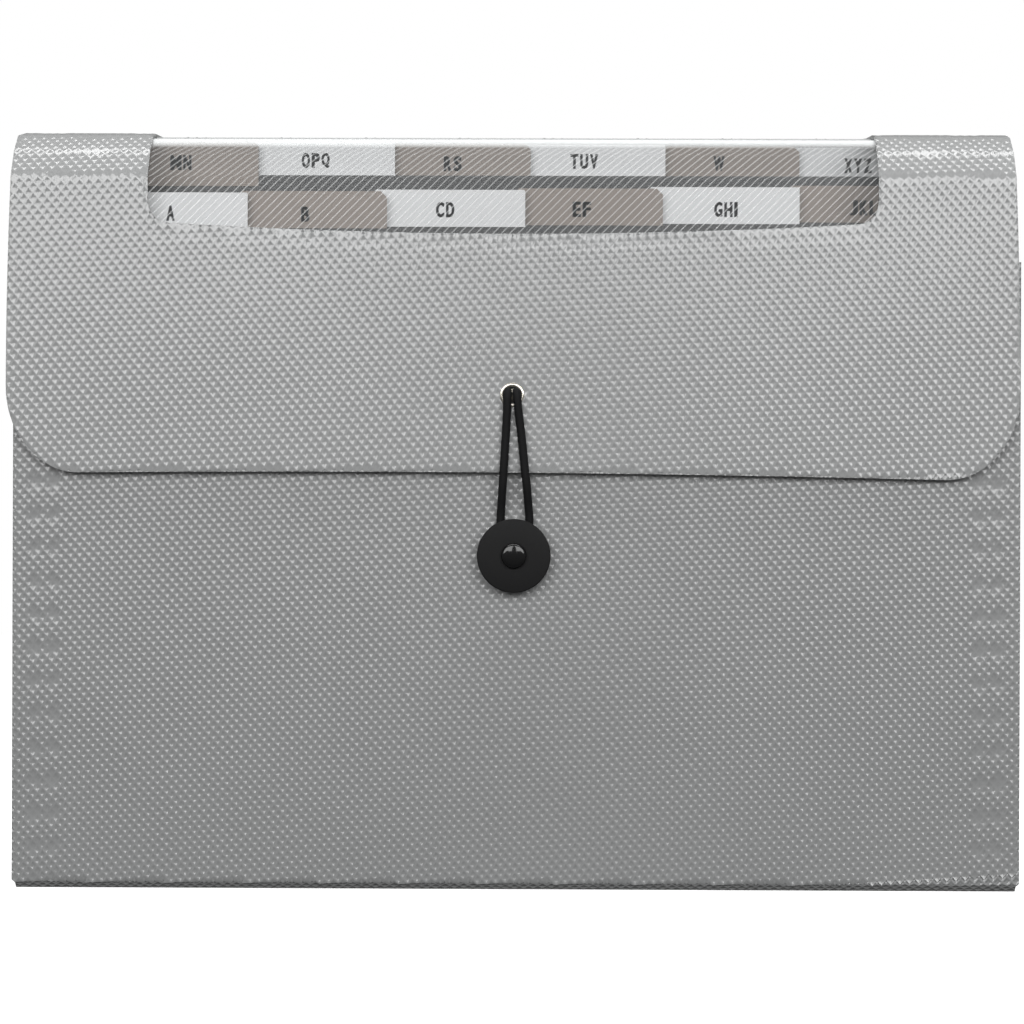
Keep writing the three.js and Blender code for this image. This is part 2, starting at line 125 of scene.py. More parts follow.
# The card glows a little so that it comes out white, and throws no light back on the file
floor_half = 1.6
floor_mesh = bmesh.new()
corners = [(-1, -1), (1, -1), (1, 1), (-1, 1)]
floor_mesh.faces.new([floor_mesh.verts.new((x * floor_half, y * floor_half, 0)) for x, y in corners])
floor = bpy.data.objects.new("floor", bpy.data.meshes.new("floor"))
floor_mesh.to_mesh(floor.data)
floor_mesh.free()
scene.collection.objects.link(floor)
floor.visible_diffuse = False
floor.visible_glossy = False
pale_card, tree, surface = new_material("pale_matt_card")
floor_finish = add(tree, "ShaderNodeBsdfPrincipled", {
    "Base Color": linear("#fbfbfb"), "Roughness": 0.9, "Emission Color": (1, 1, 1, 1),
    "Emission Strength": 0.6})
tree.links.new(floor_finish.outputs[0], surface)
floor.data.materials.append(pale_card)


# Cover: one 0.8 mm polypropylene sheet, cast grey and rolled while hot between embossed
# steel rollers, then creased and folded into front panel, bevelled bottom and back panel.
# Rows of small ultrasonic welds near both side edges hold the gussets to its panels.
def geometry_tree(name, inputs):
    """An empty geometry tree with named inputs, its input sockets and its output socket."""
    tree = bpy.data.node_groups.new(name, "GeometryNodeTree")
    tree.interface.new_socket("Geometry", in_out="OUTPUT", socket_type="NodeSocketGeometry")
    for label, kind in inputs.items():
        tree.interface.new_socket(label, in_out="INPUT", socket_type="NodeSocket" + kind)
    return tree, add(tree, "NodeGroupInput").outputs, add(tree, "NodeGroupOutput").inputs["Geometry"]


def evaluated_mesh(maker):
    """The mesh that an object evaluates to. The object itself is removed."""
    mesh = bpy.data.meshes.new_from_object(maker.evaluated_get(bpy.context.evaluated_depsgraph_get()))
    bpy.data.objects.remove(maker)
    return mesh


def grown_piece(name, tree, values):
    """The plain object that a geometry tree makes from values for its named inputs."""
    maker = bpy.data.objects.new("maker", bpy.data.meshes.new("maker"))
    scene.collection.objects.link(maker)
    modifier = maker.modifiers.new("grown", "NODES")
    modifier.node_group = tree
    for item in tree.interface.items_tree:
        if item.in_out == "INPUT":
            modifier[item.identifier] = values[item.name]
    piece = bpy.data.objects.new(name, evaluated_mesh(maker))
    scene.collection.objects.link(piece)
    return piece


def fade(tree, value, full, none):
    """1 where a value is at most full, falling to 0 where it reaches none."""
    return add(tree, "ShaderNodeMapRange", {0: value, 1: full, 2: none, 3: 1.0, 4: 0.0}).outputs[0]


def math_of(tree, operation, first, second=0.0, third=0.0):
    """One sum on values or sockets."""
    return add(tree, "ShaderNodeMath", {0: first, 1: second, 2: third}, operation=operation).outputs[0]


dimple_step, step_height = 0.52, 0.3


def diamond_cell():
    """One diamond of the emboss, one unit wide and high: ridges round a two step dimple."""
    shape = bmesh.new()
    corners = [(0.5, 0), (0, 0.5), (-0.5, 0), (0, -0.5)]
    ridge = [shape.verts.new((x, y, 1)) for x, y in corners]
    step = [shape.verts.new((dimple_step * x, dimple_step * y, step_height)) for x, y in corners]
    bottom = shape.verts.new((0, 0, 0))
    for k in range(4):
        after = (k + 1) % 4
        shape.faces.new((ridge[k], ridge[after], step[after], step[k]))
        shape.faces.new((step[k], step[after], bottom))
    cell = bpy.data.objects.new("diamond_cell", bpy.data.meshes.new("diamond_cell"))
    shape.to_mesh(cell.data)
    shape.free()
    return cell


skin_gap = 0.00003
probe_distance, probe_reach = 0.001, 0.0015
same_point = 0.00005


def embossed_skin(name, sheet, spine, cell_size, row_rise, depth, pressed, material):
    """Real dimples on the outside of a CAD sheet: a slanting lattice of diamond cells, laid
    along the spine, a path in Y and Z up the sheet's outside, and trimmed to the sheet."""
    tree, inputs, output = geometry_tree(name, {
        "Sheet": "Object", "Cell": "Object", "Spine": "Object", "Cell Width": "Float",
        "Cell Height": "Float", "Row Rise": "Float", "Depth": "Float", "Columns": "Int", "Rows": "Int",
        "Far Corner": "Vector", "Finish": "Material"})

    # A flat lattice of cells, every second row half a cell to the right
    width = math_of(tree, "MULTIPLY", inputs["Columns"], inputs["Cell Width"])
    half_height = math_of(tree, "MULTIPLY", inputs["Cell Height"], 0.5)
    height = math_of(tree, "MULTIPLY", inputs["Rows"], half_height)
    across = math_of(tree, "ADD", inputs["Columns"], 1.0)
    upwards = math_of(tree, "ADD", inputs["Rows"], 1.0)
    grid = add(tree, "GeometryNodeMeshGrid", {
        "Size X": width, "Size Y": height, "Vertices X": across, "Vertices Y": upwards})
    place = add(tree, "ShaderNodeSeparateXYZ", {0: add(tree, "GeometryNodeInputPosition").outputs[0]})
    row = math_of(tree, "ROUND", math_of(tree, "DIVIDE", place.outputs[1], half_height))
    shift = math_of(tree, "MULTIPLY", math_of(tree, "FLOORED_MODULO", row, 2.0), inputs["Cell Width"])
    stagger = add(tree, "ShaderNodeCombineXYZ", {0: math_of(tree, "MULTIPLY", shift, 0.5)})
    staggered = add(tree, "GeometryNodeSetPosition", {
        "Geometry": grid.outputs[0], "Offset": stagger.outputs[0]})
    cell = add(tree, "GeometryNodeObjectInfo", {"Object": inputs["Cell"]})
    cell_scale = add(tree, "ShaderNodeCombineXYZ", {
        0: inputs["Cell Width"], 1: inputs["Cell Height"], 2: inputs["Depth"]})
    cells = add(tree, "GeometryNodeInstanceOnPoints", {
        "Points": staggered.outputs[0], "Instance": cell.outputs["Geometry"], "Scale": cell_scale.outputs[0]})
    loose = add(tree, "GeometryNodeRealizeInstances", {"Geometry": cells.outputs[0]})
    lattice = add(tree, "GeometryNodeMergeByDistance", {
        "Geometry": loose.outputs[0], "Distance": same_point})

    # Each point's place up the spine, and the way outwards from the sheet there
    flat = add(tree, "ShaderNodeSeparateXYZ", {0: add(tree, "GeometryNodeInputPosition").outputs[0]})
    lean = math_of(tree, "DIVIDE", inputs["Row Rise"], inputs["Cell Width"])
    leaning = math_of(tree, "MULTIPLY_ADD", flat.outputs[0], lean, flat.outputs[1])
    along = math_of(tree, "MULTIPLY_ADD", height, 0.5, leaning)
    spine_curve = add(tree, "GeometryNodeObjectInfo", {"Object": inputs["Spine"]})
    on_spine = add(tree, "GeometryNodeSampleCurve", {
        "Curves": spine_curve.outputs["Geometry"], "Length": along}, mode="LENGTH", use_all_curves=True)
    at = add(tree, "ShaderNodeSeparateXYZ", {0: on_spine.outputs["Position"]})
    tangent = add(tree, "ShaderNodeSeparateXYZ", {0: on_spine.outputs["Tangent"]})
    forwards = math_of(tree, "MULTIPLY", tangent.outputs[2], -1.0)
    outwards = add(tree, "ShaderNodeCombineXYZ", {1: forwards, 2: tangent.outputs[1]})
    laid = add(tree, "ShaderNodeCombineXYZ", {0: flat.outputs[0], 1: at.outputs[1], 2: at.outputs[2]})

    # Points beyond the sheet move to its nearest edge, and cells wholly beyond it go
    sheet_mesh = add(tree, "GeometryNodeObjectInfo", {"Object": inputs["Sheet"]})
    in_front = add(tree, "ShaderNodeVectorMath", {
        0: outwards.outputs[0], 1: (probe_distance,) * 3, 2: laid.outputs[0]}, operation="MULTIPLY_ADD")
    inwards = add(tree, "ShaderNodeVectorMath", {0: outwards.outputs[0], "Scale": -1.0}, operation="SCALE")
    probe = add(tree, "GeometryNodeRaycast", {
        "Target Geometry": sheet_mesh.outputs["Geometry"], "Source Position": in_front.outputs[0],
        "Ray Direction": inwards.outputs[0], "Ray Length": probe_reach})
    inside = probe.outputs["Is Hit"]
    edge = add(tree, "GeometryNodeProximity", {
        0: sheet_mesh.outputs["Geometry"], "Sample Position": laid.outputs[0]}, target_element="EDGES")
    on_sheet = add(tree, "GeometryNodeSwitch", {
        "Switch": inside, "False": edge.outputs["Position"], "True": laid.outputs[0]}, input_type="VECTOR")
    outside = add(tree, "FunctionNodeBooleanMath", {0: inside}, operation="NOT")
    share_of_depth = math_of(tree, "DIVIDE", flat.outputs[2], inputs["Depth"])
    crest = add(tree, "GeometryNodeStoreNamedAttribute", {
        "Geometry": lattice.outputs[0], "Name": "crest", "Value": share_of_depth},
        data_type="FLOAT", domain="POINT")
    trimmed = add(tree, "GeometryNodeDeleteGeometry", {
        "Geometry": crest.outputs[0], "Selection": outside.outputs[0]}, domain="FACE")

    # Raised by its height in the cell, less where the sheet is pressed flat
    kept_height = math_of(tree, "MULTIPLY_ADD", flat.outputs[2], pressed(tree, laid.outputs[0]), skin_gap)
    lift = add(tree, "GeometryNodeSwitch", {
        "Switch": inside, "False": -skin_gap, "True": kept_height}, input_type="FLOAT")
    raised = add(tree, "ShaderNodeVectorMath", {
        0: outwards.outputs[0], "Scale": lift.outputs[0]}, operation="SCALE")
    outer = add(tree, "ShaderNodeVectorMath", {0: on_sheet.outputs[0], 1: raised.outputs[0]})
    final = add(tree, "ShaderNodeVectorMath", {
        0: outer.outputs[0], 1: inputs["Far Corner"]}, operation="MINIMUM")
    wrapped = add(tree, "GeometryNodeSetPosition", {
        "Geometry": trimmed.outputs[0], "Position": final.outputs[0]})
    smooth = add(tree, "GeometryNodeSetShadeSmooth", {"Geometry": wrapped.outputs[0]})
    finished = add(tree, "GeometryNodeSetMaterial", {
        "Geometry": smooth.outputs[0], "Material": inputs["Finish"]})
    tree.links.new(finished.outputs[0], output)

    path = bpy.data.curves.new("spine", "CURVE")
    path.dimensions = "3D"
    line = path.splines.new("POLY")
    line.points.add(len(spine) - 1)
    for point, (y, z) in zip(line.points, spine):
        point.co = (0, y, z, 1)
    spine_object = bpy.data.objects.new("spine", path)
    scene.collection.objects.link(spine_object)
    cell_object = diamond_cell()
    scene.collection.objects.link(cell_object)
    low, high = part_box(sheet)
    length = sum((Vector(b) - Vector(a)).length for a, b in zip(spine, spine[1:]))
    piece = grown_piece(name, tree, {
        "Sheet": nodes[sheet], "Cell": cell_object, "Spine": spine_object,
        "Cell Width": cell_size[0], "Cell Height": cell_size[1], "Row Rise": row_rise, "Depth": depth,
        "Columns": math.ceil((high.x - low.x) / cell_size[0]) + 2,
        "Rows": 2 * math.ceil(length / cell_size[1]) + 2, "Far Corner": high, "Finish": material})
    bpy.data.objects.remove(spine_object)
    bpy.data.objects.remove(cell_object)
    return piece


ridge_round = 0.12


def rolled_height(tree, across, along, cell_width, cell_height, row_rise):
    """Height from 0 in a dimple to 1 on a ridge, for a slanting lattice of diamond dimples."""
    lean = row_rise / cell_width
    place = add(tree, "ShaderNodeCombineXYZ", {0: across, 1: along}).outputs[0]
    rising = (1 / cell_width + lean / cell_height, -1 / cell_height, 0)
    falling = (-1 / cell_width + lean / cell_height, -1 / cell_height, 0)
    first = add(tree, "ShaderNodeVectorMath", {0: place, 1: rising}, operation="DOT_PRODUCT")
    second = add(tree, "ShaderNodeVectorMath", {0: place, 1: falling}, operation="DOT_PRODUCT")
    lattice = add(tree, "ShaderNodeCombineXYZ", {0: first.outputs["Value"], 1: second.outputs["Value"]})
    cell = add(tree, "ShaderNodeVectorMath", {0: lattice.outputs[0]}, operation="FRACTION")
    centred = add(tree, "ShaderNodeVectorMath", {
        0: cell.outputs[0], 1: (0.5, 0.5, 0.5)}, operation="SUBTRACT")
    spread = add(tree, "ShaderNodeVectorMath", {0: centred.outputs[0]}, operation="ABSOLUTE")
    sides = add(tree, "ShaderNodeSeparateXYZ", {0: spread.outputs[0]})
    outwards = math_of(tree, "SMOOTH_MAX", sides.outputs[0], sides.outputs[1], ridge_round)
    return add(tree, "ShaderNodeMapRange", {0: outwards, 1: ridge_round, 2: 0.5, 3: 0.0, 4: 1.0},
               interpolation_type="SMOOTHERSTEP").outputs[0]


def tinted(tree, colour, tone):
    """A hex colour made lighter or darker by a tone round 1."""
    base = linear(colour)[:3]
    return add(tree, "ShaderNodeVectorMath", {0: base, "Scale": tone}, operation="SCALE").outputs[0]


def dress(node, material):
    """Puts a material in the slots of a CAD node's object. Its mesh stays as it is."""
    for place in nodes[node].material_slots:
        place.material = material


grain_depth = 0.000004


def polypropylene(name, colour, roughness, shine, height=None, depth=0.0):
    """Cast polypropylene. Its waxy gloss lights a point on each ridge, the ridges are tinted a
    little paler than the dimples, and it takes a rolled height or sits on real dimples."""
    material, tree, surface = new_material(name)
    place = add(tree, "ShaderNodeTexCoord").outputs["Object"]
    if height:
        crest = height(tree, place)
    else:
        crest = add(tree, "ShaderNodeAttribute", attribute_name="crest").outputs["Fac"]
    mottle = add(tree, "ShaderNodeTexNoise", {"Vector": place, "Scale": 25.0, "Detail": 3.0})
    shade = add(tree, "ShaderNodeMapRange", {0: mottle.outputs[0], 1: 0.3, 2: 0.7, 3: 0.98, 4: 1.02})
    # Colour a little paler on the ridges and a little darker in the dimples
    ridge_tint = add(tree, "ShaderNodeMapRange", {0: crest, 1: 0.0, 2: 1.0, 3: 0.96, 4: 1.04})
    tone = math_of(tree, "MULTIPLY", shade.outputs[0], ridge_tint.outputs[0])
    grain = add(tree, "ShaderNodeTexNoise", {"Vector": place, "Scale": 2500.0, "Detail": 2.0})
    relief = math_of(tree, "MULTIPLY", grain.outputs[0], grain_depth)
    if height:
        relief = math_of(tree, "MULTIPLY_ADD", crest, depth, relief)
    bump = add(tree, "ShaderNodeBump", {"Height": relief, "Distance": 1.0, "Strength": 1.0})
    finish = add(tree, "ShaderNodeBsdfPrincipled", {
        "Base Color": tinted(tree, colour, tone), "Roughness": roughness, "IOR": 1.49,
        "Specular IOR Level": shine, "Normal": bump.outputs[0]})
    tree.links.new(finish.outputs[0], surface)
    return material


cover_depth = 0.00042
cover_cell = (0.00302, 0.00337)
cover_rise = 0.0002
cover_grey = "#888989"
cover_gloss = 0.18
cover_shine = 0.75


def cover_height(tree, place):
    """The emboss on the unfolded cover, which runs on round the bottom to the back."""
    axes = add(tree, "ShaderNodeSeparateXYZ", {0: place})
    side = math_of(tree, "SIGN", axes.outputs[1])
    unfolded = math_of(tree, "MULTIPLY_ADD", axes.outputs[2], side, axes.outputs[1])
    return rolled_height(tree, axes.outputs[0], math_of(tree, "MULTIPLY", unfolded, -1.0),
                         *cover_cell, cover_rise)


bump_share = 0.7
dress("cover", polypropylene(
    "rolled_polypropylene_cover", cover_grey, cover_gloss, cover_shine, cover_height,
    cover_depth * bump_share))

weld_columns = (0.1505, 0.1566)
weld_pitch = 0.01083
weld_top = 0.1326
weld_radius = 0.0021
weld_flattening = 0.95


def outside_welds(tree, place):
    """1 on the open panel, and little where a weld has pressed the emboss flat."""
    axes = add(tree, "ShaderNodeSeparateXYZ", {0: place})
    from_middle = math_of(tree, "ABSOLUTE", axes.outputs[0])
    row = math_of(tree, "SUBTRACT", axes.outputs[2], weld_top - weld_pitch / 2)
    row_place = math_of(tree, "FLOORED_MODULO", row, weld_pitch)
    row_offset = math_of(tree, "SUBTRACT", row_place, weld_pitch / 2)
    spots = []
    for column in weld_columns:
        sideways = math_of(tree, "SUBTRACT", from_middle, column)
        arm = add(tree, "ShaderNodeCombineXYZ", {0: sideways, 1: row_offset})
        away = add(tree, "ShaderNodeVectorMath", {0: arm.outputs[0]}, operation="LENGTH")
        spots.append(fade(tree, away.outputs["Value"], weld_radius * 0.8, weld_radius * 1.2))
    spot = math_of(tree, "MAXIMUM", *spots)
    in_rows = fade(tree, axes.outputs[2], weld_top + weld_pitch / 3, weld_top + weld_pitch / 2)
    return math_of(tree, "MULTIPLY_ADD", math_of(tree, "MULTIPLY", spot, in_rows), -weld_flattening, 1.0)


panel_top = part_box("gusset_left")[1].z
panel_spine = [(panel_y, -0.004), (panel_y, panel_top)]
front_emboss = embossed_skin(
    "cover_emboss", "cover", panel_spine, cover_cell, cover_rise, cover_depth, outside_welds,
    polypropylene("embossed_polypropylene_cover", cover_grey, cover_gloss, cover_shine))
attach(front_emboss, "body")

# Gussets: 0.25 mm polypropylene film, creased into an accordion and welded by its flat
# flanges to both panels and by its inner folds to the dividers. The film is a cloudy grey
# with a soft sheen, so each fold shows a light edge and a dark side.
gusset_film, tree, surface = new_material("creased_polypropylene_film")
place = add(tree, "ShaderNodeTexCoord").outputs["Object"]
cloud = add(tree, "ShaderNodeTexNoise", {"Vector": place, "Scale": 60.0, "Detail": 4.0})
tone = add(tree, "ShaderNodeMapRange", {0: cloud.outputs[0], 1: 0.3, 2: 0.7, 3: 0.85, 4: 1.1})
grain = add(tree, "ShaderNodeTexNoise", {"Vector": place, "Scale": 1800.0, "Detail": 2.0})
bump = add(tree, "ShaderNodeBump", {"Height": grain.outputs[0], "Distance": 0.00002, "Strength": 1.0})
finish = add(tree, "ShaderNodeBsdfPrincipled", {
    "Base Color": tinted(tree, "#8b8d90", tone.outputs[0]), "Roughness": 0.38, "IOR": 1.49,
    "Normal": bump.outputs[0]})
tree.links.new(finish.outputs[0], surface)
for name in ("gusset_left", "gusset_right"):
    dress(name, gusset_film)

# Dividers: die cut smoky polypropylene sheet, calendered to a fine matt grain, each with
# one index tab. Their side edges are welded to the gussets' inner folds. Between the
# labels they look almost black, with a dull silky light on the tabs.
divider_sheet, tree, surface = new_material("smoky_polypropylene_sheet")
place = add(tree, "ShaderNodeTexCoord").outputs["Object"]
grain = add(tree, "ShaderNodeTexNoise", {"Vector": place, "Scale": 1500.0, "Detail": 3.0})
tone = add(tree, "ShaderNodeMapRange", {0: grain.outputs[0], 1: 0.2, 2: 0.8, 3: 0.9, 4: 1.1})
bump = add(tree, "ShaderNodeBump", {"Height": grain.outputs[0], "Distance": 0.00003, "Strength": 1.0})
finish = add(tree, "ShaderNodeBsdfPrincipled", {
    "Base Color": tinted(tree, "#1f2123", tone.outputs[0]), "Roughness": 0.4, "IOR": 1.49,
    "Normal": bump.outputs[0]})
tree.links.new(finish.outputs[0], surface)
for number in range(1, 13):
    dress(f"divider_{number}", divider_sheet)


# Labels: white and taupe card slips behind the tabs' fronts, printed with plain bold index
# letters. The card is uncoated, so it has a faint fibre grain and no gloss.
def card(name, colour):
    """Uncoated card. Its fibres make the colour faintly uneven and leave no gloss."""
    material, tree, surface = new_material(name)
    place = add(tree, "ShaderNodeTexCoord").outputs["Object"]
    fibre = add(tree, "ShaderNodeTexNoise", {"Vector": place, "Scale": 3000.0, "Detail": 4.0})
    tone = add(tree, "ShaderNodeMapRange", {0: fibre.outputs[0], 1: 0.2, 2: 0.8, 3: 0.96, 4: 1.03})
    bump = add(tree, "ShaderNodeBump", {"Height": fibre.outputs[0], "Distance": 0.00001, "Strength": 1.0})
    finish = add(tree, "ShaderNodeBsdfPrincipled", {
        "Base Color": tinted(tree, colour, tone.outputs[0]), "Roughness": 0.75,
        "Normal": bump.outputs[0]})
    tree.links.new(finish.outputs[0], surface)
    return material


white_card = card("uncoated_white_card", "#c3c4c5")
taupe_card = card("uncoated_taupe_card", "#7f7771")

# Screen printed ink, a dark slate blue that is thin in specks where the card takes less of it
letter_ink, tree, surface = new_material("printed_slate_ink")
place = add(tree, "ShaderNodeTexCoord").outputs["Object"]
speckle = add(tree, "ShaderNodeTexNoise", {"Vector": place, "Scale": 4000.0, "Detail": 2.0})
tone = add(tree, "ShaderNodeMapRange", {0: speckle.outputs[0], 1: 0.3, 2: 0.7, 3: 0.8, 4: 1.25})
finish = add(tree, "ShaderNodeBsdfPrincipled", {
    "Base Color": tinted(tree, "#3a3e45", tone.outputs[0]), "Roughness": 0.6})
tree.links.new(finish.outputs[0], surface)

cap_height = 0.005
letter_width = 0.0028
letter_gap = 0.0005
other_widths = {"I": 0.0012, "M": 0.0038, "W": 0.0038}
stroke_thickening = 0.00016
outline_swell, curve_steps = 0.03, 6
ink_thickness = 0.00002
taupe_labels = ("b", "ef", "jkl", "mn", "rs", "w")
# Each label's print: its letters, how far left of the middle, how far below the top
prints = {
    "a": (0.0005, 0.0068), "b": (0.002, 0.0076), "cd": (0.0016, 0.0066), "ef": (0.002, 0.0069),
    "ghi": (-0.0004, 0.0074), "jkl": (-0.0009, 0.0073), "mn": (0.0012, 0.0075), "opq": (0.0018, 0.0063),
    "rs": (0.0014, 0.0069), "tuv": (0.0026, 0.0056), "w": (0.0024, 0.0058), "xyz": (0.0005, 0.0061)}
for letters, (left, below) in prints.items():
    label = f"label_{letters}"
    dress(label, taupe_card if letters in taupe_labels else white_card)
    low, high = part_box(label)
    widths = [other_widths.get(letter, letter_width) for letter in letters.upper()]
    reach = (low.x + high.x) / 2 - left - (sum(widths) + letter_gap * (len(widths) - 1)) / 2
    printed = bmesh.new()
    for letter, width in zip(letters.upper(), widths):
        text = bpy.data.curves.new("letter", "FONT")
        text.body = letter
        text.offset = outline_swell
        text.resolution_u = curve_steps
        maker = bpy.data.objects.new("letter_maker", text)
        scene.collection.objects.link(maker)
        outline = evaluated_mesh(maker)
        xs = [v.co.x for v in outline.vertices]
        ys = [v.co.y for v in outline.vertices]
        stem = width - 2 * stroke_thickening
        for shift in (0, stroke_thickening, 2 * stroke_thickening):
            copy = bmesh.new()
            copy.from_mesh(outline)
            for v in copy.verts:
                across = (v.co.x - min(xs)) / (max(xs) - min(xs))
                up = (v.co.y - min(ys)) / (max(ys) - min(ys))
                v.co = (reach + shift + across * stem, low.y - ink_thickness,
                        high.z - below + (up - 0.5) * cap_height)
            struck = bpy.data.meshes.new("struck")
            copy.to_mesh(struck)
            copy.free()
            printed.from_mesh(struck)
            bpy.data.meshes.remove(struck)
        reach += width + letter_gap
    lettering = bpy.data.meshes.new(f"letters_{letters}")
    printed.to_mesh(lettering)
    printed.free()
    lettering.materials.append(letter_ink)
    print_piece = bpy.data.objects.new(f"letters_{letters}", lettering)
    scene.collection.objects.link(print_piece)
    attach(print_piece, "body")

# Button and spacer: injection moulded black ABS, held off the panel by the spacer so that
# the elastic slips behind the disc. The spark eroded mould leaves a fine even matt.
matt_black, tree, surface = new_material("moulded_black_abs")
place = add(tree, "ShaderNodeTexCoord").outputs["Object"]
spark = add(tree, "ShaderNodeTexNoise", {"Vector": place, "Scale": 3500.0, "Detail": 3.0})
bump = add(tree, "ShaderNodeBump", {"Height": spark.outputs[0], "Distance": 0.00003, "Strength": 1.0})
gloss = add(tree, "ShaderNodeMapRange", {0: spark.outputs[0], 1: 0.3, 2: 0.7, 3: 0.5, 4: 0.65})
finish = add(tree, "ShaderNodeBsdfPrincipled", {
    "Base Color": linear("#0c0c0d"), "Roughness": gloss.outputs[0], "IOR": 1.5, "Specular IOR Level": 0.2,
    "Normal": bump.outputs[0]})
tree.links.new(finish.outputs[0], surface)


merge_distance = 0.000001
sharp_from = math.radians(35)


def merged_copy(node):
    """A CAD node's shape with its loose triangles merged, so that it can be shaded smooth."""
    shape = bmesh.new()
    shape.from_mesh(nodes[node].data)
    bmesh.ops.remove_doubles(shape, verts=shape.verts, dist=merge_distance)
    return shape


def stands_for(shape, node, material, body):
    """Makes a smooth piece of a shape, in place of a CAD node."""
    piece = bpy.data.objects.new(f"finished_{node}", bpy.data.meshes.new(f"finished_{node}"))
    shape.to_mesh(piece.data)
    shape.free()
    piece.data.shade_smooth()
    piece.data.set_sharp_from_angle(angle=sharp_from)
    piece.data.materials.append(material)
    scene.collection.objects.link(piece)
    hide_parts(node)
    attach(piece, body)


def turned(profile, centre_x, centre_z, steps):
    """A closed shape turned from a profile of radius and y, from pole to pole."""
    shape = bmesh.new()
    rings = []
    for radius, y in profile:
        count = steps if radius > 0 else 1
        rings.append([shape.verts.new((
            centre_x + radius * math.cos(2 * math.pi * k / steps), y,
            centre_z + radius * math.sin(2 * math.pi * k / steps))) for k in range(count)])
    for one, other in zip(rings, rings[1:]):
        for k in range(steps):
            after = (k + 1) % steps
            corners = [one[k % len(one)], one[after % len(one)],
                       other[after % len(other)], other[k % len(other)]]
            shape.faces.new(list(dict.fromkeys(corners)))
    bmesh.ops.recalc_face_normals(shape, faces=shape.faces)
    return shape


button_low, button_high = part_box("button")
button_x = (button_low.x + button_high.x) / 2
button_z = (button_low.z + button_high.z) / 2
button_radius = (button_high.x - button_low.x) / 2
button_face, button_back = button_low.y, button_high.y
edge_round, edge_steps = 0.00035, 4
rivet_recess, recess_draft, recess_depth = 0.00422, 0.00005, 0.0003
disc_steps = 96
disc = [(0, button_back), (button_radius - edge_round, button_back)]
for step in range(1, edge_steps + 1):
    turn = math.radians(90 * step / edge_steps)
    disc.append((
        button_radius - edge_round * (1 - math.sin(turn)), button_back - edge_round * (1 - math.cos(turn))))
for step in range(edge_steps + 1):
    turn = math.radians(90 * step / edge_steps)
    disc.append((
        button_radius - edge_round * (1 - math.cos(turn)), button_face + edge_round * (1 - math.sin(turn))))
disc += [(rivet_recess, button_face), (rivet_recess - recess_draft, button_face + recess_depth),
         (0, button_face + recess_depth)]
stands_for(turned(disc, button_x, button_z, disc_steps), "button", matt_black, "body")
stands_for(merged_copy("button_spacer"), "button_spacer", matt_black, "body")

# Rivet: a domed steel rivet in stoved black enamel, set through button, spacer and panel.
# The enamel is smooth and glossy, so the dome mirrors the lights.
enamel, tree, surface = new_material("black_stoving_enamel")
place = add(tree, "ShaderNodeTexCoord").outputs["Object"]
orange_peel = add(tree, "ShaderNodeTexNoise", {"Vector": place, "Scale": 900.0, "Detail": 1.0})
bump = add(tree, "ShaderNodeBump", {"Height": orange_peel.outputs[0], "Distance": 0.00001, "Strength": 1.0})
finish = add(tree, "ShaderNodeBsdfPrincipled", {
    "Base Color": linear("#0a0a0b"), "Roughness": 0.08, "IOR": 1.5, "Normal": bump.outputs[0]})
tree.links.new(finish.outputs[0], surface)
rivet = merged_copy("button_rivet")
rivet_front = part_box("button_rivet")[0].y
dome_radius = 0.018
shoulder, shoulder_drop = 0.0035, 0.00055
foot, foot_drop = 0.0039, 0.001
head_height = 0.0003
for v in rivet.verts:
    if v.co.y < button_face - head_height:
        out = math.hypot(v.co.x - button_x, v.co.z - button_z)
        if out < shoulder:
            v.co.y = rivet_front + out ** 2 / (2 * dome_radius)
        elif out < foot:
            v.co.y = rivet_front + shoulder_drop
        else:
            v.co.y = rivet_front + foot_drop
stands_for(rivet, "button_rivet", enamel, "body")

# Flap: the same embossed sheet in a slightly coarser lattice, creased over the top of the
# pockets. The creases and a row of film welds under the window flatten its dimples.
flap_cell = (0.00302, 0.00359)
flap_rise = 0.00018
flap_depth = 0.00033
# Painted light: the same sheet as the cover, coloured a little lighter here for the flap catching more light
# than the panel below
painted_lighter_flap_grey = "#919292"
flap_gloss = 0.16
flap_shine = 0.8
flap_low, flap_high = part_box("flap")
# Each crease: how far behind the flap's front face, how far below its top
creases = [(0.0, 0.0177), (0.0049, 0.0094), (0.0114, 0.0034), (0.0194, 0.0017)]
crease_radius = 0.003
arch = [Vector((flap_low.y + behind, flap_high.z - below)) for behind, below in creases]
arch_end = Vector((flap_high.y, flap_high.z))


def rounded(points, radius, steps):
    """A path with its corners rounded."""
    path = [points[0]]
    for before, corner, after in zip(points, points[1:], points[2:]):
        back, ahead = (before - corner).normalized(), (after - corner).normalized()
        reach = radius / math.tan(back.angle(ahead) / 2)
        start, end = corner + back * reach, corner + ahead * reach
        for k in range(steps + 1):
            share = k / steps
            path.append(start * (1 - share) ** 2 + corner * 2 * share * (1 - share) + end * share ** 2)
    return path + [points[-1]]


def up_the_flap(tree, place):
    """How far a place on the flap lies up the sheet, along its front and over the arch."""
    along = math_of(tree, "MINIMUM", add(tree, "ShaderNodeSeparateXYZ", {0: place}).outputs[2], arch[0].y)
    for start, end in zip(arch, arch[1:] + [arch_end]):
        direction = (end - start).normalized()
        from_start = add(tree, "ShaderNodeVectorMath", {0: place, 1: (0, *start)}, operation="SUBTRACT")
        reach = add(tree, "ShaderNodeVectorMath", {0: from_start.outputs[0], 1: (0, *direction)},
                    operation="DOT_PRODUCT")
        stretch = add(tree, "ShaderNodeClamp", {0: reach.outputs["Value"], 1: 0.0, 2: (end - start).length})
        along = math_of(tree, "ADD", along, stretch.outputs[0])
    return along


def flap_height(tree, place):
    """The emboss on the unfolded flap."""
    across = add(tree, "ShaderNodeSeparateXYZ", {0: place}).outputs[0]
    return rolled_height(tree, across, up_the_flap(tree, place), *flap_cell, flap_rise)


